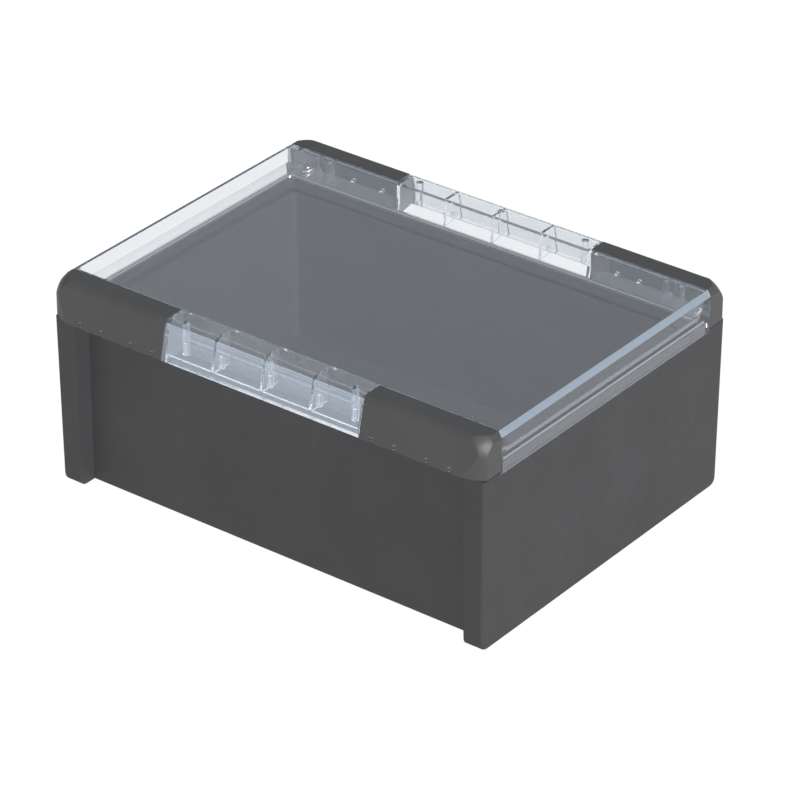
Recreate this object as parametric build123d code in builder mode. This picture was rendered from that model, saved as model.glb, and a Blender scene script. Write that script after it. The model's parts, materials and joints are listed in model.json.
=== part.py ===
from math import cos, radians, tan
import os

from build123d import *

os.makedirs("parts", exist_ok=True)

# Wall-mount electronics housing: a deep dark base, a clear lid held by four screws,
# and four dark trim covers that fold down from the lid's long sides over the screws.
# Millimetres, +Z up, +X along the long side, origin at the middle of the underside.

# Overall sizes
lid_length = 341.0
overall_width = 265.0
overall_height = 150.0
draft_angle = 0.5

# Insets of the lid's seams and of the base columns from the widest edge of the trim covers
seam_inset = 21.5
column_inset = 4.3

# Parting faces: height of the lid above the base's shoulder, and steps up from the shoulder
lid_height = 30.0
column_step = 2.3
rim_height = 7.1
parting_gap = 0.3
seam_gap = 0.2

# Base mouldings
base_wall = 3.4
floor_thickness = 3.5
corner_radius = 2.4
column_foot_radius = 6.0
foot_edge_radius = 1.3
column_length = 16.0
recess_depth = 13.2
shelf_thickness = 2.4
shelf_edge_inset = 1.2
rim_thickness = 3.3
jog_height = 7.0
inner_corner_radius = 4.0
boss_diameter = 8.0
boss_height = 6.0
boss_hole_diameter = 3.4
boss_end_inset = 30.5
boss_side_inset = 26.0

# Wall-mount channels, one down each corner column
mount_edge_x = 6.1
mount_edge_y = 6.2
mount_channel_diameter = 7.4
mount_hole_diameter = 4.4
mount_seat_z = 6.0

# Lid mouldings
plate_thickness = 3.0
lid_wall = 3.0
bevel_run = 2.7
bevel_drop = 4.4
ledge_edge_height = 3.6
ledge_slope_height = 6.0
flange_thickness = 3.4
flange_edge_inset = 7.7
middle_length = 156.6
middle_wall = 2.5
middle_bottom_step = 3.0
flare_angle = 12.8
side_edge_radius = 5.0
rib_thickness = 2.0
rib_pitch = 38.7
rib_bottom_step = 6.2
tube_diameter = 4.8
tube_hole_diameter = 2.2
tube_inset = 9.0
end_tube_inset = 11.3
short_tube_step = 14.0
lip_height = 3.6
lip_thickness = 4.2

# Seal between lid and base rim
groove_width = 2.2
groove_depth = 2.2
groove_lip = 0.55
tongue_width = 1.2
tongue_height = 1.2
seal_clearance = 0.05

# Trim covers
trim_wall = 2.0
trim_rest_gap = 0.5
trim_gap = 0.3
trim_arc_start = 20.5
trim_arc_radius = 36.0
trim_corner_radius = 3.0
turn_radius = 25.4
turn_end_inset = 17.7
turn_side_inset = 24.1
turn_drop = 17.0
turn_run = 8.3
turn_arc_radius = 22.0
turn_step_run = 2.7
turn_step_drop = 7.0
trim_lip_height = 1.5
trim_lip_depth = 6.0
hinge_rise = 2.0
hinge_inset = 2.2
pin_diameter = 2.2
pin_clearance = 0.1
clip_wall = 0.8
clip_width = 2.2
clip_side_gap = 0.4
clip_mouth = 1.9
notch_height = 4.4
hinge_pitch = 17.5
hinge_start_inset = 8.4
hinge_end_inset = 24.0
catch_end_inset = 29.0
catch_post_spacing = 11.0
catch_post_diameter = 5.2
catch_post_top_gap = 7.0
tongue_rib_width = 4.6
tongue_rib_depth = 2.4
tongue_rib_length = 12.0

# Lid screws and their inserts
screw_edge_x = 12.1
screw_edge_y = 12.4
screw_shank_diameter = 3.4
screw_head_diameter = 7.0
screw_head_height = 2.6
screw_length = 19.0
screw_hex = 2.5
screw_hex_depth = 1.6
flange_hole_diameter = 4.4
insert_diameter = 5.6
insert_bore_diameter = 4.0
insert_length = 8.0
insert_well_depth = 20.0

# Sizes that follow from the ones above
half_length = lid_length / 2
half_flare = overall_width / 2
half_seam = half_flare - seam_inset
half_column = half_flare - column_inset
half_middle = middle_length / 2
seam_width = 2 * half_seam
shoulder_z = overall_height - lid_height
column_top_z = shoulder_z + column_step
rim_top_z = shoulder_z + rim_height
middle_bottom_z = shoulder_z + middle_bottom_step
rib_bottom_z = shoulder_z + rib_bottom_step
short_tube_top_z = shoulder_z + short_tube_step
trim_bottom_z = column_top_z + trim_rest_gap
hinge_z = trim_bottom_z + hinge_rise
catch_post_top_z = overall_height - catch_post_top_gap
tongue_rib_bottom_z = overall_height - tongue_rib_length
draft_run = column_top_z * tan(radians(draft_angle))
base_bottom_length = lid_length - 2 * draft_run
base_bottom_width = 2 * (half_column - draft_run)
boss_x = half_length - boss_end_inset
boss_y = half_seam - boss_side_inset
skirt_bottom_z = shoulder_z + parting_gap
ledge_bottom_z = rim_top_z + parting_gap
plate_bottom_z = overall_height - plate_thickness
rim_outer_x = half_length - lid_wall - parting_gap
rim_outer_y = half_seam - lid_wall - parting_gap
rim_inner_x = rim_outer_x - rim_thickness
rim_inner_y = rim_outer_y - rim_thickness
recess_y = half_column - recess_depth
screw_x = half_length - screw_edge_x
screw_y = half_column - screw_edge_y
mount_x = half_length - mount_edge_x
mount_y = half_column - mount_edge_y
flange_bottom_z = column_top_z + parting_gap
flange_top_z = flange_bottom_z + flange_thickness
flange_edge_y = half_flare - flange_edge_inset
trim_start_x = half_middle + trim_gap
trim_side_y = half_seam + seam_gap
hinge_y = half_flare - hinge_inset
groove_middle_x = rim_inner_x + groove_lip + groove_width / 2
groove_middle_y = rim_inner_y + groove_lip + groove_width / 2
tongue_top_z = rim_top_z + tongue_height
first_hinge_x = trim_start_x + hinge_start_inset
last_hinge_x = half_length - hinge_end_inset
hinge_positions = (
    first_hinge_x,
    first_hinge_x + hinge_pitch,
    last_hinge_x - hinge_pitch,
    last_hinge_x,
)
catch_x = half_length - catch_end_inset


def face_y(z, inset):
    """Distance from the middle plane to the flared side face at height z, moved in by inset."""
    slope = radians(flare_angle)
    return half_flare - (z - middle_bottom_z) * tan(slope) - inset / cos(slope)


def side_section(inset, start_y, bottom_z):
    """Section of the long side outside start_y on the -Y side: flat top, rounded edge, flare."""
    top_z = overall_height - inset
    with BuildSketch(mode=Mode.PRIVATE) as section:
        with BuildLine():
            Polyline(
                (-start_y, bottom_z),
                (-face_y(bottom_z, inset), bottom_z),
                (-face_y(top_z, inset), top_z),
                (-start_y, top_z),
                close=True,
            )
        make_face()
        edge_corner = section.vertices().group_by(Axis.Y)[-1].sort_by(Axis.X)[0]
        fillet(edge_corner, radius=side_edge_radius - inset)
    return section.sketch


def frame_outline(outer_x, outer_y, inner_x, inner_y):
    """Rectangular ring between two half sizes."""
    Rectangle(2 * outer_x, 2 * outer_y)
    Rectangle(2 * inner_x, 2 * inner_y, mode=Mode.SUBTRACT)


# Base: one deep moulding with drafted walls, four corner columns and a rim for the seal
with BuildPart() as base_shell:
    with BuildSketch():
        Rectangle(base_bottom_length, base_bottom_width)
    extrude(amount=column_top_z, taper=-draft_angle)

    # Large radius along the long foot edges, then a small one round each end
    bottom_edges = base_shell.faces().sort_by(Axis.Z)[0].edges()
    fillet(bottom_edges.filter_by(Axis.X), radius=column_foot_radius)
    end_outlines = base_shell.edges().filter_by(
        lambda edge: abs(edge.center().X) > half_length - column_length
        and edge.center().Z < shoulder_z
        and edge.bounding_box().size.X < corner_radius
    )
    fillet(end_outlines, radius=corner_radius)

    # Recess along each long wall, between the columns and below the shelves
    recess_bottom_y = recess_y - draft_run
    shelf_bottom_z = column_top_z - shelf_thickness
    for sign_y in (-1, 1):
        with BuildSketch():
            with Locations((0, sign_y * (recess_bottom_y + recess_depth))):
                Rectangle(
                    2 * (half_length - column_length) + draft_run,
                    2 * recess_depth,
                )
        extrude(amount=shelf_bottom_z, taper=draft_angle, mode=Mode.SUBTRACT)
        with BuildSketch(Plane.XY.offset(shelf_bottom_z)):
            with Locations((0, sign_y * (recess_y + recess_depth))):
                Rectangle(2 * trim_start_x, 2 * recess_depth)
            with Locations((0, sign_y * (half_column - shelf_edge_inset))):
                Rectangle(
                    2 * (half_length - column_length),
                    2 * recess_depth,
                    align=(Align.CENTER, Align.MIN if sign_y > 0 else Align.MAX),
                )
        extrude(amount=shelf_thickness, mode=Mode.SUBTRACT)
    recess_feet = base_shell.faces().sort_by(Axis.Z)[0].edges().filter_by(Axis.X)
    recess_feet = recess_feet.filter_by(lambda edge: abs(edge.center().Y) < recess_y)
    recess_feet = recess_feet.filter_by(lambda edge: edge.length > lid_length / 2)
    fillet(recess_feet, radius=foot_edge_radius)

    # All but the columns and shelves drops to the shoulder that the lid skirt closes on
    with BuildSketch(Plane.XY.offset(shoulder_z)):
        Rectangle(2 * lid_length, 2 * (half_seam + parting_gap))
        Rectangle(2 * trim_start_x, 2 * overall_width)
    extrude(amount=column_top_z - shoulder_z, mode=Mode.SUBTRACT)

    # Rim that stands up inside the lid skirt, with a tongue for the seal
    with BuildSketch(Plane.XY.offset(shoulder_z)):
        Rectangle(2 * rim_outer_x, 2 * rim_outer_y)
    extrude(amount=rim_top_z - shoulder_z)
    with BuildSketch(Plane.XY.offset(rim_top_z)):
        frame_outline(
            groove_middle_x + tongue_width / 2,
            groove_middle_y + tongue_width / 2,
            groove_middle_x - tongue_width / 2,
            groove_middle_y - tongue_width / 2,
        )
    extrude(amount=tongue_height)

    # Cavity: drafted walls, then a slope inward to the rim
    jog_start_z = shoulder_z - jog_height
    cavity_draft = (shoulder_z - floor_thickness) * tan(radians(draft_angle))
    cavity_top_length = lid_length - 2 * base_wall - 2 * (column_top_z - jog_start_z) * tan(
        radians(draft_angle)
    )
    cavity_top_width = 2 * (recess_y - base_wall) - 2 * (column_top_z - jog_start_z) * tan(
        radians(draft_angle)
    )
    with BuildSketch(Plane.XY.offset(floor_thickness)):
        RectangleRounded(
            cavity_top_length - 2 * cavity_draft,
            cavity_top_width - 2 * cavity_draft,
            inner_corner_radius,
        )
    with BuildSketch(Plane.XY.offset(jog_start_z)):
        RectangleRounded(cavity_top_length, cavity_top_width, inner_corner_radius)
    loft(mode=Mode.SUBTRACT)
    with BuildSketch(Plane.XY.offset(jog_start_z)):
        RectangleRounded(cavity_top_length, cavity_top_width, inner_corner_radius)
    with BuildSketch(Plane.XY.offset(shoulder_z)):
        RectangleRounded(2 * rim_inner_x, 2 * rim_inner_y, inner_corner_radius)
    loft(mode=Mode.SUBTRACT)
    with BuildSketch(Plane.XY.offset(shoulder_z)):
        RectangleRounded(2 * rim_inner_x, 2 * rim_inner_y, inner_corner_radius)
    extrude(amount=rim_top_z - shoulder_z, mode=Mode.SUBTRACT)

    # Mounting bosses on the floor
    with BuildSketch(Plane.XY.offset(floor_thickness)):
        with GridLocations(boss_x, 2 * boss_y, 3, 2):
            Circle(boss_diameter / 2)
    extrude(amount=boss_height)
    with BuildSketch(Plane.XY.offset(floor_thickness)):
        with GridLocations(boss_x, 2 * boss_y, 3, 2):
            Circle(boss_hole_diameter / 2)
    extrude(amount=boss_height, mode=Mode.SUBTRACT)

    # Wall-mount channels from the column tops, and the holes at their feet
    with BuildSketch(Plane.XY.offset(mount_seat_z)):
        with GridLocations(2 * mount_x, 2 * mount_y, 2, 2):
            Circle(mount_channel_diameter / 2)
    extrude(amount=column_top_z - mount_seat_z, mode=Mode.SUBTRACT)
    with BuildSketch():
        with GridLocations(2 * mount_x, 2 * mount_y, 2, 2):
            Circle(mount_hole_diameter / 2)
    extrude(amount=mount_seat_z, mode=Mode.SUBTRACT)

    # Wells for the lid screws: an insert at the top, clearance for the tip below
    with BuildSketch(Plane.XY.offset(column_top_z)):
        with GridLocations(2 * screw_x, 2 * screw_y, 2, 2):
            Circle(insert_diameter / 2)
    extrude(amount=-insert_length, mode=Mode.SUBTRACT)
    with BuildSketch(Plane.XY.offset(column_top_z)):
        with GridLocations(2 * screw_x, 2 * screw_y, 2, 2):
            Circle(insert_bore_diameter / 2)
    extrude(amount=-insert_well_depth, mode=Mode.SUBTRACT)
base_shell.part.label = "base_shell"
export_step(base_shell.part, "parts/base_shell.step")

# Lid: one clear moulding, a tray with flanges and a ribbed hollow on each long side
with BuildPart() as lid:
    with BuildSketch(Plane.XZ):
        with BuildLine():
            Polyline(
                (-half_length, skirt_bottom_z),
                (half_length, skirt_bottom_z),
                (half_length, overall_height - bevel_drop),
                (half_length - bevel_run, overall_height),
                (-half_length + bevel_run, overall_height),
                (-half_length, overall_height - bevel_drop),
                close=True,
            )
        make_face()
    extrude(amount=half_seam, both=True)

    # Room for the base rim below the ledge, the opening, and the slope above the ledge
    with BuildSketch(Plane.XY.offset(skirt_bottom_z)):
        Rectangle(lid_length - 2 * lid_wall, seam_width - 2 * lid_wall)
    extrude(amount=ledge_bottom_z - skirt_bottom_z, mode=Mode.SUBTRACT)
    slope_start_z = ledge_bottom_z + ledge_edge_height
    slope_end_z = slope_start_z + ledge_slope_height
    with BuildSketch(Plane.XY.offset(ledge_bottom_z)):
        RectangleRounded(2 * rim_inner_x, 2 * rim_inner_y, inner_corner_radius)
    extrude(amount=ledge_edge_height, mode=Mode.SUBTRACT)
    with BuildSketch(Plane.XY.offset(slope_start_z)):
        RectangleRounded(2 * rim_inner_x, 2 * rim_inner_y, inner_corner_radius)
    with BuildSketch(Plane.XY.offset(slope_end_z)):
        RectangleRounded(
            lid_length - 2 * lid_wall, seam_width - 2 * lid_wall, inner_corner_radius
        )
    loft(mode=Mode.SUBTRACT)
    with BuildSketch(Plane.XY.offset(slope_end_z)):
        RectangleRounded(
            lid_length - 2 * lid_wall, seam_width - 2 * lid_wall, inner_corner_radius
        )
    extrude(amount=plate_bottom_z - slope_end_z, mode=Mode.SUBTRACT)

    # Groove for the seal in the underside of the ledge
    with BuildSketch(Plane.XY.offset(ledge_bottom_z)):
        frame_outline(
            groove_middle_x + groove_width / 2,
            groove_middle_y + groove_width / 2,
            groove_middle_x - groove_width / 2,
            groove_middle_y - groove_width / 2,
        )
    extrude(amount=groove_depth, mode=Mode.SUBTRACT)

    # Hollow middle of each long side: flared skirt with a thick lower edge, end walls, ribs
    with BuildSketch(Plane.YZ.offset(-half_middle)):
        add(side_section(0, half_seam, middle_bottom_z))
    extrude(amount=middle_length)
    with BuildSketch(Plane.YZ.offset(-half_middle + middle_wall)):
        add(side_section(middle_wall, half_seam, middle_bottom_z))
    extrude(amount=middle_length - 2 * middle_wall, mode=Mode.SUBTRACT)
    lip_top_z = middle_bottom_z + lip_height
    with BuildSketch(Plane.YZ.offset(-half_middle)):
        with BuildLine():
            Polyline(
                (-face_y(middle_bottom_z, 0), middle_bottom_z),
                (-face_y(lip_top_z, 0), lip_top_z),
                (-face_y(lip_top_z, lip_thickness), lip_top_z),
                (-face_y(middle_bottom_z, lip_thickness), middle_bottom_z),
                close=True,
            )
        make_face()
    extrude(amount=middle_length)
    for rib_x in (-rib_pitch, 0, rib_pitch):
        with BuildSketch(Plane.YZ.offset(rib_x - rib_thickness / 2)):
            add(side_section(middle_wall / 2, half_seam, rib_bottom_z))
        extrude(amount=rib_thickness)

    # Tubes that stiffen the hollow, tall ones at its middle and ends, short ones between
    tube_y = -(half_seam + tube_inset)
    end_tube_x = half_middle - end_tube_inset
    tall_tubes = [(x, tube_y) for x in (-end_tube_x, 0, end_tube_x)]
    short_tubes = [(x, tube_y) for x in (-rib_pitch, rib_pitch)]
    with BuildSketch(Plane.XY.offset(rib_bottom_z)):
        with Locations(tall_tubes):
            Circle(tube_diameter / 2)
    extrude(amount=overall_height - middle_wall - rib_bottom_z)
    with BuildSketch(Plane.XY.offset(rib_bottom_z)):
        with Locations(short_tubes):
            Circle(tube_diameter / 2)
    extrude(amount=short_tube_top_z - rib_bottom_z)
    with BuildSketch(Plane.XY.offset(rib_bottom_z)):
        with Locations(tall_tubes + short_tubes):
            Circle(tube_hole_diameter / 2)
    extrude(amount=short_tube_top_z - rib_bottom_z, mode=Mode.SUBTRACT)

    # Flanges under the trim covers, cut back round the wall-mount channels
    flange_start_x = trim_start_x + trim_wall + trim_gap
    flange_end_x = half_length - trim_wall - trim_gap
    flange_notch_x = screw_x + screw_head_diameter / 2 + parting_gap
    flange_notch_y = mount_y - mount_channel_diameter / 2 - parting_gap
    clip_outer_radius = pin_diameter / 2 + pin_clearance + clip_wall
    neck_length = hinge_y - flange_edge_y - pin_diameter / 2 - pin_clearance
    post_y = half_seam + catch_post_diameter / 2 - seam_gap
    for sign_x in (-1, 1):
        flange_side = Align.MIN if sign_x > 0 else Align.MAX
        with BuildSketch(Plane.XY.offset(flange_bottom_z)):
            with Locations((sign_x * flange_start_x, -half_seam)):
                Rectangle(
                    flange_end_x - flange_start_x,
                    flange_edge_y - half_seam,
                    align=(flange_side, Align.MAX),
                )
            with Locations((sign_x * flange_notch_x, -flange_notch_y)):
                Rectangle(
                    flange_end_x - flange_notch_x,
                    flange_edge_y - flange_notch_y,
                    align=(flange_side, Align.MAX),
                    mode=Mode.SUBTRACT,
                )
            with Locations((sign_x * screw_x, -screw_y)):
                Circle(flange_hole_diameter / 2, mode=Mode.SUBTRACT)
        extrude(amount=flange_thickness)

        # Open clips at the flange edge, which the pins of the trim cover snap into
        for position in hinge_positions:
            clip_plane = Plane.YZ.offset(sign_x * position - clip_width / 2)
            with BuildSketch(clip_plane):
                with Locations((-flange_edge_y, hinge_z)):
                    Rectangle(neck_length, clip_outer_radius, align=(Align.MAX, Align.CENTER))
                with Locations((-hinge_y, hinge_z)):
                    Circle(clip_outer_radius)
                    Circle(pin_diameter / 2 + pin_clearance, mode=Mode.SUBTRACT)
                    Rectangle(
                        2 * pin_diameter,
                        clip_mouth,
                        align=(Align.MAX, Align.CENTER),
                        mode=Mode.SUBTRACT,
                    )
            extrude(amount=clip_width)

        # Pairs of posts by the seam, between which the catch of the trim cover sits
        for offset_x in (-catch_post_spacing / 2, catch_post_spacing / 2):
            with BuildSketch(Plane.XY.offset(flange_top_z)):
                with Locations((sign_x * (catch_x + offset_x), -post_y)):
                    Circle(catch_post_diameter / 2)
            extrude(amount=catch_post_top_z - flange_top_z)

    # The other long side is the same
    split(bisect_by=Plane.XZ, keep=Keep.TOP)
    mirror(about=Plane.XZ)
lid.part.label = "lid"
export_step(lid.part, "parts/lid.step")

# Seal: a soft ring in the groove of the lid, which the tongue of the base presses on
with BuildPart() as lid_seal:
    with BuildSketch(Plane.XY.offset(tongue_top_z + seal_clearance)):
        frame_outline(
            groove_middle_x + groove_width / 2,
            groove_middle_y + groove_width / 2,
            groove_middle_x - groove_width / 2,
            groove_middle_y - groove_width / 2,
        )
    extrude(amount=ledge_bottom_z + groove_depth - tongue_top_z - seal_clearance)
lid_seal.part.label = "lid_seal"
export_step(lid_seal.part, "parts/lid_seal.step")


def corner_outline(inset):
    """Plan of a trim cover moved in by inset: straight, then an arc that meets the end face."""
    arc_start_x = half_length - trim_arc_start
    arc_radius = trim_arc_radius - inset
    end_x = half_length - inset
    arc_centre_y = -(half_flare - trim_arc_radius)
    arc_reach = end_x - arc_start_x
    arc_end_y = arc_centre_y - (arc_radius**2 - arc_reach**2) ** 0.5
    with BuildSketch(mode=Mode.PRIVATE) as outline:
        with BuildLine():
            Polyline(
                (end_x, arc_end_y),
                (end_x, 0),
                (0, 0),
                (0, arc_centre_y - arc_radius),
                (arc_start_x, arc_centre_y - arc_radius),
            )
            RadiusArc((arc_start_x, arc_centre_y - arc_radius), (end_x, arc_end_y), -arc_radius)
        make_face()
        end_corner = outline.vertices().group_by(Axis.X)[-1].sort_by(Axis.Y)[0]
        fillet(end_corner, radius=trim_corner_radius - inset / 2)
    return outline.sketch


def end_section(inset):
    """Section of the bevelled end seen from the long side, from the middle to +X."""
    end_x = half_length - inset
    top_z = overall_height - inset
    with BuildSketch(mode=Mode.PRIVATE) as section:
        with BuildLine():
            Polyline(
                (0, shoulder_z),
                (end_x, shoulder_z),
                (end_x, top_z - bevel_drop),
                (end_x - bevel_run, top_z),
                (0, top_z),
                close=True,
            )
        make_face()
    return section.sketch


def corner_cut(inset, rounded):
    """Half section of the turned cut at a top corner, rounded outside, two cones in the hollow."""
    radius = turn_radius - inset
    top_z = overall_height - inset
    with BuildSketch(mode=Mode.PRIVATE) as section:
        with BuildLine():
            Polyline(
                (radius, top_z - turn_drop),
                (turn_radius + turn_run, top_z - turn_drop),
                (turn_radius + turn_run, overall_height + turn_run),
                (radius - turn_run, overall_height + turn_run),
                (radius - turn_run, top_z),
            )
            if rounded:
                RadiusArc(
                    (radius - turn_run, top_z),
                    (radius, top_z - turn_drop),
                    turn_arc_radius,
                )
            else:
                Polyline(
                    (radius - turn_run, top_z),
                    (radius - turn_step_run, top_z - turn_step_drop),
                    (radius, top_z - turn_drop),
                )
        make_face()
    return section.sketch


# Axis of the turned cut, inside the +X, -Y corner
turn_x = half_length - turn_end_inset
turn_y = half_flare - turn_side_inset
turn_plane = Plane(origin=(turn_x, -turn_y, 0), x_dir=(1, 0, 0), z_dir=(0, -1, 0))
turn_axis = Axis((turn_x, -turn_y, 0), (0, 0, -1))

# Hollow of the trim cover, open towards the lid and, inside the lip, below
with BuildPart() as trim_hollow:
    with BuildSketch(Plane.YZ.offset(trim_start_x + trim_wall)):
        add(side_section(trim_wall, half_seam - trim_wall, trim_bottom_z + trim_lip_height))
        with Locations((-half_flare + trim_lip_depth, shoulder_z)):
            Rectangle(
                half_flare - trim_lip_depth - half_seam + trim_wall,
                trim_bottom_z + 2 * trim_lip_height - shoulder_z,
                align=(Align.MIN, Align.MIN),
            )
    extrude(amount=half_length)
    with BuildSketch(Plane.XY.offset(shoulder_z)):
        add(corner_outline(trim_wall))
    extrude(amount=lid_height, mode=Mode.INTERSECT)
    with BuildSketch(Plane.XZ):
        add(end_section(trim_wall))
    extrude(amount=half_flare, mode=Mode.INTERSECT)
    with BuildSketch(turn_plane):
        add(corner_cut(trim_wall, rounded=False))
    revolve(axis=turn_axis, revolution_arc=90, mode=Mode.SUBTRACT)

with BuildPart() as trim_cover:
    # Outer form: side section, trimmed to the plan outline and the bevelled end
    with BuildSketch(Plane.YZ.offset(trim_start_x)):
        add(side_section(0, trim_side_y, trim_bottom_z))
    extrude(amount=half_length)
    with BuildSketch(Plane.XY.offset(shoulder_z)):
        add(corner_outline(0))
    extrude(amount=lid_height, mode=Mode.INTERSECT)
    with BuildSketch(Plane.XZ):
        add(end_section(0))
    extrude(amount=half_flare, mode=Mode.INTERSECT)

    # Ball-like top corner, turned about an upright axis
    with BuildSketch(turn_plane):
        add(corner_cut(0, rounded=True))
    revolve(axis=turn_axis, revolution_arc=90, mode=Mode.SUBTRACT)

    # Hollow the cover out, leaving a wall all round and a lip along its lower edge
    add(trim_hollow.part, mode=Mode.SUBTRACT)

    # Notches in the lower edge for the lid's clips, each bridged by a hinge pin
    for position in hinge_positions:
        notch_width = clip_width + 2 * clip_side_gap
        with BuildSketch(Plane.YZ.offset(position - notch_width / 2)):
            with Locations((-half_flare - trim_wall, trim_bottom_z - trim_wall)):
                Rectangle(
                    2 * trim_wall + trim_lip_depth,
                    notch_height + trim_wall,
                    align=(Align.MIN, Align.MIN),
                )
        extrude(amount=notch_width, mode=Mode.SUBTRACT)
        pin_length = notch_width + pin_diameter
        with BuildSketch(Plane.YZ.offset(position - pin_length / 2)):
            with Locations((-hinge_y, hinge_z)):
                Circle(pin_diameter / 2)
        extrude(amount=pin_length)

    # Catch that hangs between the lid's two posts
    with BuildSketch(Plane.XY.offset(tongue_rib_bottom_z)):
        with Locations((catch_x, -trim_side_y)):
            Rectangle(tongue_rib_width, tongue_rib_depth, align=(Align.CENTER, Align.MAX))
    extrude(amount=overall_height - trim_wall / 2 - tongue_rib_bottom_z)

front_right = trim_cover.part
front_left = mirror(front_right, about=Plane.YZ)
trim_covers = {
    "trim_front_right": front_right,
    "trim_front_left": front_left,
    "trim_back_right": mirror(front_right, about=Plane.XZ),
    "trim_back_left": mirror(front_left, about=Plane.XZ),
}
for name, cover in trim_covers.items():
    cover.label = name
    export_step(cover, f"parts/{name}.step")


# Lid screws in the four columns, each in its own insert
corners = {
    "front_right": (1, -1),
    "front_left": (-1, -1),
    "back_right": (1, 1),
    "back_left": (-1, 1),
}
for name, (sign_x, sign_y) in corners.items():
    with BuildPart() as insert:
        with BuildSketch(Plane.XY.offset(column_top_z)):
            with Locations((sign_x * screw_x, sign_y * screw_y)):
                Circle(insert_diameter / 2)
                Circle(insert_bore_diameter / 2, mode=Mode.SUBTRACT)
        extrude(amount=-insert_length)
    insert.part.label = f"insert_{name}"
    export_step(insert.part, f"parts/insert_{name}.step")

    with BuildPart() as screw:
        head_top_z = flange_top_z + screw_head_height
        with BuildSketch(Plane.XY.offset(head_top_z - screw_length)):
            with Locations((sign_x * screw_x, sign_y * screw_y)):
                Circle(screw_shank_diameter / 2)
        extrude(amount=screw_length)
        with BuildSketch(Plane.XY.offset(flange_top_z)):
            with Locations((sign_x * screw_x, sign_y * screw_y)):
                Circle(screw_head_diameter / 2)
        extrude(amount=screw_head_height)
        with BuildSketch(Plane.XY.offset(head_top_z)):
            with Locations((sign_x * screw_x, sign_y * screw_y)):
                RegularPolygon(screw_hex / 2, 6, major_radius=False)
        extrude(amount=-screw_hex_depth, mode=Mode.SUBTRACT)
        rim_edges = screw.edges().filter_by(GeomType.CIRCLE).sort_by(Axis.Z)[-1:]
        chamfer(rim_edges, length=screw_head_height / 8)
    screw.part.label = f"lid_screw_{name}"
    export_step(screw.part, f"parts/lid_screw_{name}.step")
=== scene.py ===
"""Studio scene of a wall-mount electronics housing.

A deep dark base is closed by a clear screwed lid, and four dark trim covers fold down
from the lid's long sides. Sizes are in metres, with +Z up and +X along the long side.
"""

import json
import logging
import math
from dataclasses import dataclass
from enum import Enum
from typing import Any

import bmesh
import bpy
from mathutils import Matrix, Vector

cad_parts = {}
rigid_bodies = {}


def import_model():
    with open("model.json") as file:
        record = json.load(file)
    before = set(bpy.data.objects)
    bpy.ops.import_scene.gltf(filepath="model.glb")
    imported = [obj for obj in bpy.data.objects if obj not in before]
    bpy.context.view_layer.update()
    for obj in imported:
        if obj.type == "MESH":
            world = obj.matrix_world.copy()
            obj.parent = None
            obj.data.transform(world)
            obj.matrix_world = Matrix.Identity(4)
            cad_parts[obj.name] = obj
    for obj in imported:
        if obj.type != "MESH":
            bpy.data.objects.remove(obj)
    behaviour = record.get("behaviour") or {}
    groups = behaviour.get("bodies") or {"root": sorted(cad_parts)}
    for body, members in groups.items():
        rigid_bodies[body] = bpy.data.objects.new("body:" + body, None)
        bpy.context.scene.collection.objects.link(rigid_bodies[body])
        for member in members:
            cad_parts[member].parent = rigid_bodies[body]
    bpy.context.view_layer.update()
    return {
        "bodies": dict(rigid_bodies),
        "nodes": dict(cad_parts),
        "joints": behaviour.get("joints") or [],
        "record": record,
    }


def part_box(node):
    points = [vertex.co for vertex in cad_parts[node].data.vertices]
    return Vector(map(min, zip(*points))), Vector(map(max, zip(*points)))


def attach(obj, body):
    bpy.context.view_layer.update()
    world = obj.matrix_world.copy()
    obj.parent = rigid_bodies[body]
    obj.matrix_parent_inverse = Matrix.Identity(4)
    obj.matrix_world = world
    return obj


LOG = logging.getLogger("housing")

Colour = tuple[float, float, float]
Point = tuple[float, float, float]

# Nearly all values of a Noise texture lie between these two.
NOISE_LOW = 0.3
NOISE_HIGH = 0.7


class Corner(Enum):
    """The four corners of the housing, each with the signs of its X and Y."""

    FRONT_RIGHT = (1, -1)
    FRONT_LEFT = (-1, -1)
    BACK_RIGHT = (1, 1)
    BACK_LEFT = (-1, 1)

    @property
    def label(self) -> str:
        """Name of the corner as the CAD nodes and bodies write it."""
        return self.name.lower()


class Slot(Enum):
    """Names of two material slots of the record."""

    BASE = "base_plastic"
    SCREW = "screw_steel"


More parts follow.
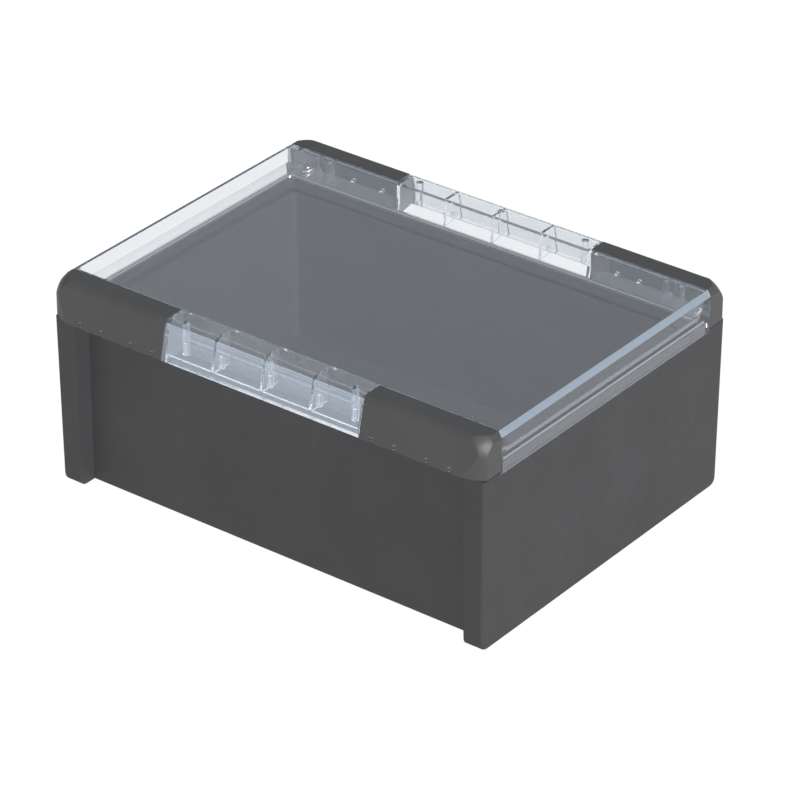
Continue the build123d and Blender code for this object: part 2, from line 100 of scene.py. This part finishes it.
class NodeSheet:
    """Thin helper that adds shader nodes to one material or world and joins them."""

    def __init__(self, owner: Any) -> None:
        """Starts from an empty node tree.

        Args:
            owner: The material or world whose node tree is written.
        """
        owner.use_nodes = True
        self.tree = owner.node_tree
        self.tree.nodes.clear()

    def add(self, kind: str, **values: Any) -> Any:
        """Adds one node and sets its named input values.

        Args:
            kind: Node type without the ShaderNode prefix.
            values: Input values by socket name, with underscores for spaces.

        Returns:
            The new node.
        """
        node = self.tree.nodes.new("ShaderNode" + kind)
        for name, value in values.items():
            node.inputs[name.replace("_", " ")].default_value = value
        return node

    def link(self, output: Any, target: Any) -> None:
        """Joins an output socket to an input socket."""
        self.tree.links.new(output, target)

    def math(self, operation: str, first: Any, second: Any) -> Any:
        """Adds a Math node.

        Args:
            operation: Name of the Math operation.
            first: Number or output socket for the first value.
            second: Number or output socket for the second value.

        Returns:
            The node's output socket.
        """
        node = self.tree.nodes.new("ShaderNodeMath")
        node.operation = operation
        for socket, value in zip(node.inputs, (first, second)):
            if isinstance(value, (int, float)):
                socket.default_value = value
            else:
                self.link(value, socket)
        return node.outputs[0]

    def noise(self, scale: float, detail: float) -> Any:
        """Adds a Noise texture on object coordinates.

        Args:
            scale: Lumps per metre.
            detail: Octaves of finer noise.

        Returns:
            The output socket of its value from 0 to 1.
        """
        place = self.add("TexCoord")
        texture = self.add("TexNoise", Scale=scale, Detail=detail)
        self.link(place.outputs["Object"], texture.inputs["Vector"])
        return texture.outputs["Fac"]

    def spread(self, value: Any, low: float, high: float) -> Any:
        """Maps a noise value onto a range.

        Args:
            value: Output socket of a Noise texture.
            low: Result at the noise's low end.
            high: Result at its high end.

        Returns:
            The output socket of the mapped value.
        """
        node = self.add("MapRange", From_Min=NOISE_LOW, From_Max=NOISE_HIGH, To_Min=low, To_Max=high)
        self.link(value, node.inputs["Value"])
        return node.outputs["Result"]

    def bump(self, height: Any, strength: float, depth: float, base: Any = None) -> Any:
        """Adds a Bump node.

        Args:
            height: Output socket of the height.
            strength: Share of the bump that counts.
            depth: Depth of the bump at a height of 1.
            base: Output socket of the normal that is bumped, or None for the surface's own.

        Returns:
            The output socket of the bumped normal.
        """
        node = self.add("Bump", Strength=strength, Distance=depth)
        self.link(height, node.inputs["Height"])
        if base is not None:
            self.link(base, node.inputs["Normal"])
        return node.outputs["Normal"]

    def mix(self, share: Any, first: Any, second: Any) -> Any:
        """Mixes two shaders.

        Args:
            share: Output socket of the second shader's share.
            first: Output socket of the first shader.
            second: Output socket of the second shader.

        Returns:
            The output socket of the mixed shader.
        """
        node = self.add("MixShader")
        self.link(share, node.inputs[0])
        self.link(first, node.inputs[1])
        self.link(second, node.inputs[2])
        return node.outputs["Shader"]

    def either_ray(self, first: str, second: str) -> Any:
        """Tells a ray of one of two kinds from all others.

        Args:
            first: Name of one kind, as Light Path writes it.
            second: Name of the other kind.

        Returns:
            The output socket, which is 1 for those rays and 0 for others.
        """
        path = self.add("LightPath")
        return self.math("MAXIMUM", path.outputs[f"Is {first} Ray"], path.outputs[f"Is {second} Ray"])

    def show(self, shader: Any, kind: str = "OutputMaterial") -> None:
        """Sends a shader to a new output node.

        Args:
            shader: Output socket of the shader.
            kind: Type of the output node without the ShaderNode prefix.
        """
        out = self.add(kind)
        self.link(shader, out.inputs["Surface"])


@dataclass(frozen=True)
class MouldedPlastic:
    """Opaque moulded plastic with fine spark-eroded grain and softened edges."""

    name: str
    colour: Colour
    roughness: float = 0.55
    roughness_spread: float = 0.04
    specular: float = 0.2
    grain_scale: float = 1500.0
    grain_detail: float = 2.0
    grain_strength: float = 0.22
    grain_depth: float = 0.00006
    patch_scale: float = 140.0
    patch_detail: float = 3.0
    mottle: float = 0.05
    mottle_scale: float = 28.0
    mottle_detail: float = 4.0
    edge_radius: float = 0.0005
    edge_samples: int = 4

    def make(self) -> bpy.types.Material:
        """Writes the finish as a material.

        Returns:
            The new material.
        """
        material = bpy.data.materials.new(self.name)
        sheet = NodeSheet(material)
        shader = sheet.add("BsdfPrincipled", Specular_IOR_Level=self.specular)
        tint = sheet.add("Mix")
        tint.data_type = "RGBA"
        tint.inputs["A"].default_value = (*[c * (1 - self.mottle) for c in self.colour], 1)
        tint.inputs["B"].default_value = (*[c * (1 + self.mottle) for c in self.colour], 1)
        flow = sheet.noise(self.mottle_scale, self.mottle_detail)
        sheet.link(sheet.spread(flow, 0.0, 1.0), tint.inputs["Factor"])
        sheet.link(tint.outputs["Result"], shader.inputs["Base Color"])
        patch = sheet.noise(self.patch_scale, self.patch_detail)
        smoothest = self.roughness - self.roughness_spread
        roughest = self.roughness + self.roughness_spread
        sheet.link(sheet.spread(patch, smoothest, roughest), shader.inputs["Roughness"])
        edge = sheet.add("Bevel", Radius=self.edge_radius)
        edge.samples = self.edge_samples
        grain = sheet.noise(self.grain_scale, self.grain_detail)
        skin = sheet.bump(grain, self.grain_strength, self.grain_depth, edge.outputs["Normal"])
        sheet.link(skin, shader.inputs["Normal"])
        sheet.show(shader.outputs["BSDF"])
        return material


@dataclass(frozen=True)
class ClearPlastic:
    """Polished clear polycarbonate that lets the lamp reach what is behind it."""

    name: str
    colour: Colour
    haze: Colour
    lamp_tint: Colour
    haze_share: float = 0.034
    # The next two shares are extra diffuse haze that paints a highlight on the ribbed middles and the end
    # bevels.
    middle_share: float = 0.145
    bevel_share: float = 0.28
    seam_y: float = 0.1112
    middle_x: float = 0.0785
    facing: float = 0.85
    bevel_x: float = 0.1679
    bevel_z: float = 0.1457
    roughness: float = 0.02
    index: float = 1.38
    ripple_scale: float = 22.0
    ripple_detail: float = 1.0
    ripple_strength: float = 0.04
    ripple_depth: float = 0.0004

    def milkiness(self, sheet: NodeSheet) -> Any:
        """Works out the share of diffuse haze, of which part is a painted highlight.

        A thin even haze covers all the plastic. The long faces of the ribbed middles get extra haze, and the
        bevels of the ends most of all; this extra haze is a painted highlight, picked by place and face
        direction.

        Args:
            sheet: Node tree that the values are worked out in.

        Returns:
            The output socket of the share of haze and painted highlight.
        """
        place = sheet.add("TexCoord")
        split = sheet.add("SeparateXYZ")
        sheet.link(place.outputs["Object"], split.inputs[0])
        along = sheet.math("ABSOLUTE", split.outputs["X"], 0)
        across = sheet.math("ABSOLUTE", split.outputs["Y"], 0)
        turned = sheet.add("SeparateXYZ")
        sheet.link(place.outputs["Normal"], turned.inputs[0])
        facing = sheet.math("ABSOLUTE", turned.outputs["Y"], 0)
        past_seam = sheet.math("GREATER_THAN", across, self.seam_y)
        on_long_face = sheet.math("GREATER_THAN", facing, self.facing)
        between_ends = sheet.math("LESS_THAN", along, self.middle_x)
        long_face = sheet.math("MULTIPLY", past_seam, on_long_face)
        in_middle = sheet.math("MULTIPLY", long_face, between_ends)
        past_edge = sheet.math("GREATER_THAN", along, self.bevel_x)
        above_edge = sheet.math("GREATER_THAN", split.outputs["Z"], self.bevel_z)
        on_bevel = sheet.math("MULTIPLY", past_edge, above_edge)
        # The extra haze on the middles and bevels is a painted highlight.
        middle = sheet.math("MULTIPLY", in_middle, self.middle_share)
        bevel = sheet.math("MULTIPLY", on_bevel, self.bevel_share)
        painted_highlight_share = sheet.math("ADD", middle, bevel)
        return sheet.math("ADD", painted_highlight_share, self.haze_share)

    def make(self) -> bpy.types.Material:
        """Writes the finish as a material.

        Returns:
            The new material.
        """
        material = bpy.data.materials.new(self.name)
        sheet = NodeSheet(material)
        body = sheet.add(
            "BsdfPrincipled",
            Base_Color=(*self.colour, 1),
            Roughness=self.roughness,
            IOR=self.index,
            Transmission_Weight=1.0,
        )
        flow = sheet.noise(self.ripple_scale, self.ripple_detail)
        sheet.link(sheet.bump(flow, self.ripple_strength, self.ripple_depth), body.inputs["Normal"])
        haze_and_highlight_diffuse = sheet.add("BsdfDiffuse", Color=(*self.haze, 1))
        # The diffuse layer is an even haze plus a painted highlight on the ribbed middles and the end
        # bevels.
        with_haze_and_highlight = sheet.mix(self.milkiness(sheet), body.outputs["BSDF"], haze_and_highlight_diffuse.outputs["BSDF"])
        passed = sheet.add("BsdfTransparent", Color=(*self.lamp_tint, 1))
        to_lamp = sheet.either_ray("Shadow", "Diffuse")
        sheet.show(sheet.mix(to_lamp, with_haze_and_highlight, passed.outputs["BSDF"]))
        return material


@dataclass(frozen=True)
class SealFoam:
    """Soft foamed seal with a fine open skin."""

    name: str
    colour: Colour
    smoothest: float = 0.75
    roughest: float = 0.9
    cell_scale: float = 2600.0
    cell_detail: float = 3.0
    cell_strength: float = 0.5
    cell_depth: float = 0.0001

    def make(self) -> bpy.types.Material:
        """Writes the finish as a material.

        Returns:
            The new material.
        """
        material = bpy.data.materials.new(self.name)
        sheet = NodeSheet(material)
        shader = sheet.add("BsdfPrincipled", Base_Color=(*self.colour, 1))
        cells = sheet.noise(self.cell_scale, self.cell_detail)
        sheet.link(sheet.spread(cells, self.smoothest, self.roughest), shader.inputs["Roughness"])
        sheet.link(sheet.bump(cells, self.cell_strength, self.cell_depth), shader.inputs["Normal"])
        sheet.show(shader.outputs["BSDF"])
        return material


@dataclass(frozen=True)
class TurnedMetal:
    """Bright turned metal with fine tool marks."""

    name: str
    colour: Colour
    roughness: float
    roughness_spread: float = 0.06
    mark_scale: float = 3200.0
    mark_detail: float = 2.0
    mark_strength: float = 0.15
    mark_depth: float = 0.00003

    def make(self) -> bpy.types.Material:
        """Writes the finish as a material.

        Returns:
            The new material.
        """
        material = bpy.data.materials.new(self.name)
        sheet = NodeSheet(material)
        shader = sheet.add("BsdfPrincipled", Base_Color=(*self.colour, 1), Metallic=1.0)
        marks = sheet.noise(self.mark_scale, self.mark_detail)
        smoothest = self.roughness - self.roughness_spread
        roughest = self.roughness + self.roughness_spread
        sheet.link(sheet.spread(marks, smoothest, roughest), shader.inputs["Roughness"])
        sheet.link(sheet.bump(marks, self.mark_strength, self.mark_depth), shader.inputs["Normal"])
        sheet.show(shader.outputs["BSDF"])
        return material


def dress(node: bpy.types.Object, material: bpy.types.Material) -> None:
    """Gives an object one material in all its slots.

    Args:
        node: Object to dress.
        material: Finish to put on it.
    """
    if not node.data.materials:
        node.data.materials.append(material)
    for index in range(len(node.data.materials)):
        node.data.materials[index] = material


def finish_mesh(
    name: str, mesh: bmesh.types.BMesh, material: bpy.types.Material, body: str
) -> bpy.types.Object:
    """Turns a bmesh into a piece of the scene that rides on a body.

    Args:
        name: Name of the new piece.
        mesh: Its shape, in metres and in place.
        material: Its finish.
        body: Body that carries it.

    Returns:
        The new object.
    """
    data = bpy.data.meshes.new(name)
    mesh.to_mesh(data)
    mesh.free()
    for face in data.polygons:
        face.use_smooth = True
    piece = bpy.data.objects.new(name, data)
    bpy.context.scene.collection.objects.link(piece)
    dress(piece, material)
    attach(piece, body)
    LOG.info("piece %s rides on %s with %d faces", name, body, len(data.polygons))
    return piece


@dataclass
class BaseMoulding:
    """Dark base shell with its screw inserts."""

    frame: dict[str, Any]
    plastic: bpy.types.Material
    brass: bpy.types.Material
    floor_thickness: float = 0.0035
    pin_mark_radius: float = 0.003
    pin_mark_rise: float = 0.00012
    pin_mark_sink: float = 0.9
    pin_mark_edge: float = 0.0003
    pin_mark_sides: int = 32
    pin_mark_pitch_x: float = 0.092
    pin_mark_pitch_y: float = 0.058
    pin_mark_columns: tuple[float, ...] = (-1.5, -0.5, 0.5, 1.5)
    pin_mark_rows: tuple[int, ...] = (-1, 0, 1)

    def dress_nodes(self) -> None:
        """Gives the shell and the inserts their finishes."""
        dress(self.frame["nodes"]["base_shell"], self.plastic)
        for corner in Corner:
            dress(self.frame["nodes"][f"insert_{corner.label}"], self.brass)

    def raise_ring(self, rings: bmesh.types.BMesh, centre: Vector) -> None:
        """Raises one low ring with a sunk middle.

        Args:
            rings: Mesh that the ring is added to.
            centre: Its middle, on the floor of the base.
        """
        rim = bmesh.ops.create_circle(
            rings,
            segments=self.pin_mark_sides,
            radius=self.pin_mark_radius,
            matrix=Matrix.Translation(centre),
        )
        edges = list({edge for vert in rim["verts"] for edge in vert.link_edges})
        face = bmesh.ops.contextual_create(rings, geom=edges)["faces"]
        for depth in (self.pin_mark_rise, -self.pin_mark_rise * self.pin_mark_sink):
            bmesh.ops.inset_region(rings, faces=face, thickness=self.pin_mark_edge, depth=depth)

    def add_pin_marks(self) -> bpy.types.Object:
        """Adds the low rings that ejector pins leave on the floor of the base.

        Returns:
            The new piece.
        """
        rings = bmesh.new()
        for column in self.pin_mark_columns:
            for row in self.pin_mark_rows:
                place = (column * self.pin_mark_pitch_x, row * self.pin_mark_pitch_y, self.floor_thickness)
                self.raise_ring(rings, Vector(place))
        bmesh.ops.recalc_face_normals(rings, faces=rings.faces)
        return finish_mesh("floor_pin_marks", rings, self.plastic, "base")

    def build(self) -> None:
        """Dresses the base and adds its fine marks."""
        self.dress_nodes()
        self.add_pin_marks()


@dataclass
class ClearLid:
    """Clear lid with the seal in its groove."""

    frame: dict[str, Any]
    plastic: bpy.types.Material
    foam: bpy.types.Material

    def build(self) -> None:
        """Gives the lid and its seal their finishes."""
        dress(self.frame["nodes"]["lid"], self.plastic)
        dress(self.frame["nodes"]["lid_seal"], self.foam)
        LOG.info("lid dressed")


@dataclass
class TrimCovers:
    """Four dark covers over the lid screws."""

    frame: dict[str, Any]
    plastic: bpy.types.Material

    def build(self) -> None:
        """Gives the covers their finish."""
        for corner in Corner:
            dress(self.frame["nodes"][f"trim_{corner.label}"], self.plastic)
        LOG.info("trim covers dressed")


@dataclass
class LidScrews:
    """Four socket screws, whose threads are wound here."""

    frame: dict[str, Any]
    steel: bpy.types.Material
    shank_radius: float = 0.0017
    thread_radius: float = 0.00194
    thread_pitch: float = 0.0007
    threaded_length: float = 0.0112
    root_sink: float = 0.00003
    root_half_share: float = 0.45
    crest_half_share: float = 0.08
    steps_per_turn: int = 20

    def wind_thread(self, corner: Corner) -> bpy.types.Object:
        """Winds the thread ridge round the lower part of one shank.

        Args:
            corner: Corner whose screw gets the thread.

        Returns:
            The new piece.
        """
        screw = f"lid_screw_{corner.label}"
        low, high = (Vector(point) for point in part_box(screw))
        middle = (low + high) / 2
        start_z = low.z + self.thread_pitch
        root = self.shank_radius - self.root_sink
        half_root = self.root_half_share * self.thread_pitch
        half_crest = self.crest_half_share * self.thread_pitch
        profile = [
            (root, -half_root),
            (self.thread_radius, -half_crest),
            (self.thread_radius, half_crest),
            (root, half_root),
        ]
        ridge = bmesh.new()
        points = [ridge.verts.new((middle.x + radius, middle.y, start_z + rise)) for radius, rise in profile]
        ends = points[1:] + points[:1]
        outline = [ridge.edges.new(pair) for pair in zip(points, ends)]
        cap = ridge.faces.new(points)
        turns = int(self.threaded_length / self.thread_pitch)
        bmesh.ops.spin(
            ridge,
            geom=[cap, *outline, *points],
            cent=(middle.x, middle.y, start_z),
            axis=(0, 0, 1),
            dvec=(0, 0, self.thread_pitch / self.steps_per_turn),
            angle=2 * math.pi * turns,
            steps=turns * self.steps_per_turn,
            use_merge=False,
        )
        bmesh.ops.recalc_face_normals(ridge, faces=ridge.faces)
        return finish_mesh(f"screw_thread_{corner.label}", ridge, self.steel, screw)

    def build(self) -> None:
        """Dresses the screws and winds their threads."""
        for corner in Corner:
            dress(self.frame["nodes"][f"lid_screw_{corner.label}"], self.steel)
            self.wind_thread(corner)


@dataclass
class Studio:
    """White studio: pale floor, even light from all round and one soft key lamp."""

    camera_place: Point = (1.5257, -1.97725, 1.5016)
    view_right: Point = (0.79335, 0.60876, 0.0)
    view_up: Point = (-0.30411, 0.39632, 0.86627)
    lens: float = 201.63
    sensor_width: float = 36.0
    clip_end: float = 50.0
    floor_half: float = 6.0
    floor_drop: float = 0.0002
    floor_colour: Colour = (0.85, 0.85, 0.85)
    seen_floor_colour: Colour = (0.15, 0.15, 0.15)
    seen_floor_glow: float = 0.88
    ambient: float = 0.26
    mirrored: float = 0.38
    mirrored_tint: Colour = (0.73, 0.88, 1.0)
    backdrop: float = 1.0
    key_energy: float = 4.0
    key_direction: Point = (0.72, -0.45, 0.53)
    key_angle: float = 0.5

    def add_camera(self) -> None:
        """Sets the camera at the photograph's viewing angle."""
        data = bpy.data.cameras.new("studio_camera")
        data.sensor_width = self.sensor_width
        data.lens = self.lens
        data.clip_end = self.clip_end
        camera = bpy.data.objects.new("studio_camera", data)
        right, up = Vector(self.view_right), Vector(self.view_up)
        back = right.cross(up)
        turn = Matrix((right, up, back)).transposed().to_4x4()
        camera.matrix_world = Matrix.Translation(self.camera_place) @ turn
        bpy.context.scene.collection.objects.link(camera)
        bpy.context.scene.camera = camera

    def light_world(self) -> None:
        """Lights the set evenly, and shows white where the world itself is seen."""
        world = bpy.data.worlds.new("studio_world")
        sheet = NodeSheet(world)
        lit = sheet.add("Background", Color=(1, 1, 1, 1), Strength=self.ambient)
        mirror = sheet.add("Background", Color=(*self.mirrored_tint, 1), Strength=self.mirrored)
        shown = sheet.add("Background", Color=(1, 1, 1, 1), Strength=self.backdrop)
        path = sheet.add("LightPath")
        around = sheet.mix(
            path.outputs["Is Glossy Ray"], lit.outputs["Background"], mirror.outputs["Background"]
        )
        seen = sheet.either_ray("Camera", "Transmission")
        sheet.show(sheet.mix(seen, around, shown.outputs["Background"]), "OutputWorld")
        bpy.context.scene.world = world

    def add_floor(self) -> None:
        """Lays a pale floor that reads as white where it is seen."""
        mesh = bmesh.new()
        bmesh.ops.create_grid(mesh, x_segments=1, y_segments=1, size=self.floor_half)
        data = bpy.data.meshes.new("studio_floor")
        mesh.to_mesh(data)
        mesh.free()
        floor = bpy.data.objects.new("studio_floor", data)
        floor.location.z = -self.floor_drop
        bpy.context.scene.collection.objects.link(floor)
        material = bpy.data.materials.new("pale_floor")
        sheet = NodeSheet(material)
        matt = sheet.add("BsdfDiffuse", Color=(*self.floor_colour, 1))
        dim = sheet.add("BsdfDiffuse", Color=(*self.seen_floor_colour, 1))
        glow = sheet.add("Emission", Strength=self.seen_floor_glow)
        both = sheet.add("AddShader")
        sheet.link(dim.outputs["BSDF"], both.inputs[0])
        sheet.link(glow.outputs["Emission"], both.inputs[1])
        seen = sheet.either_ray("Camera", "Transmission")
        sheet.show(sheet.mix(seen, matt.outputs["BSDF"], both.outputs["Shader"]))
        dress(floor, material)

    def add_key(self) -> None:
        """Hangs one broad far lamp to the right of the camera, which casts no shadow."""
        data = bpy.data.lights.new("key_lamp", "SUN")
        data.energy = self.key_energy
        data.angle = self.key_angle
        data.use_shadow = False
        lamp = bpy.data.objects.new("key_lamp", data)
        lamp.location = Vector(self.key_direction)
        lamp.rotation_euler = Vector(self.key_direction).to_track_quat("Z", "Y").to_euler()
        bpy.context.scene.collection.objects.link(lamp)

    def build(self) -> None:
        """Builds the whole set."""
        view = bpy.context.scene.view_settings
        view.view_transform = "Standard"
        self.add_camera()
        self.light_world()
        self.add_floor()
        self.add_key()
        LOG.info("studio ready")


def main() -> None:
    """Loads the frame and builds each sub-assembly in order."""
    logging.basicConfig(level=logging.INFO, format="%(name)s: %(message)s")
    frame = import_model()
    Studio().build()
    graphite = MouldedPlastic("graphite_base", (0.052, 0.052, 0.0545)).make()
    graphite_trim = MouldedPlastic(
        "graphite_trim", (0.066, 0.065, 0.066), roughness=0.38, specular=0.3
    ).make()
    clear = ClearPlastic(
        "clear_lid", (0.99, 0.996, 1.0), haze=(0.65, 0.76, 0.90), lamp_tint=(0.85, 0.86, 0.88)
    ).make()
    foam = SealFoam("seal_foam", (0.30, 0.32, 0.34)).make()
    steel = TurnedMetal("screw_steel", (0.62, 0.62, 0.63), 0.32).make()
    brass = TurnedMetal("insert_brass", (0.72, 0.52, 0.22), 0.35).make()
    BaseMoulding(frame, graphite, brass).build()
    ClearLid(frame, clear, foam).build()
    TrimCovers(frame, graphite_trim).build()
    LidScrews(frame, steel).build()


if __name__ == "__main__":
    main()
